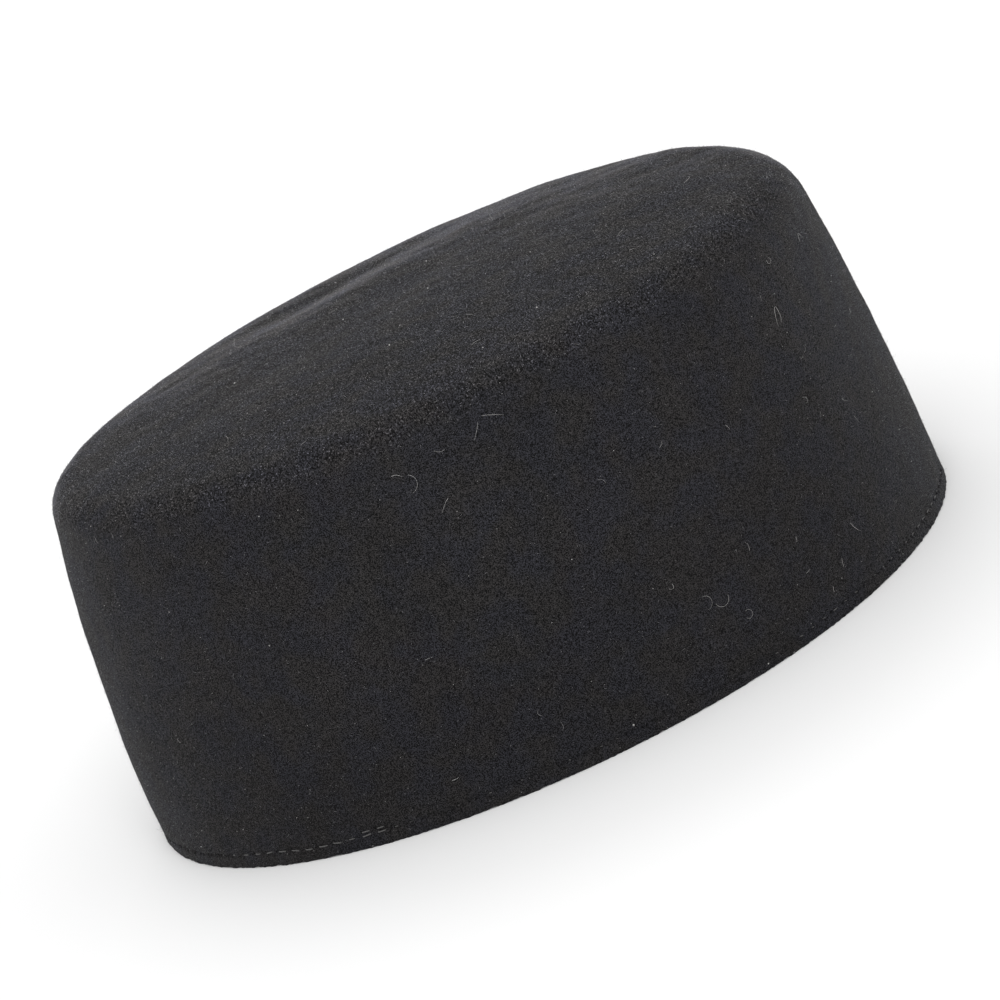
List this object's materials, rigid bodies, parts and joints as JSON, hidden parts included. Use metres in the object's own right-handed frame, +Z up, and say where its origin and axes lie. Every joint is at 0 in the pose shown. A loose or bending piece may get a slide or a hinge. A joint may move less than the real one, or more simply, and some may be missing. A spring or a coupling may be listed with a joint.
{
  "type": "pillbox hat",
  "caption": "Plain brimless felt hat, an oval cap with an upright wall, a softly rounded edge and a gently domed crown, open below.",
  "frame": {"origin": "middle of the rim, on the surface that the hat rests on", "axes": "+Z up out of the crown, +X along the oval's long axis to the front of the hat, +Y across it to the wearer's left"},
  "size_m": [0.201, 0.167, 0.0895],
  "materials": {
    "charcoal_wool_felt": "matte wool felt, charcoal black, with a short raised nap that catches light at grazing angles",
    "charcoal_thread": "two-ply sewing thread, charcoal grey with a faint sheen",
    "pale_lint": "loose pale fibres and specks caught in the nap"
  },
  "bodies": {
    "root": {"felt_hat": "charcoal_wool_felt"}
  },
  "joints": []
}
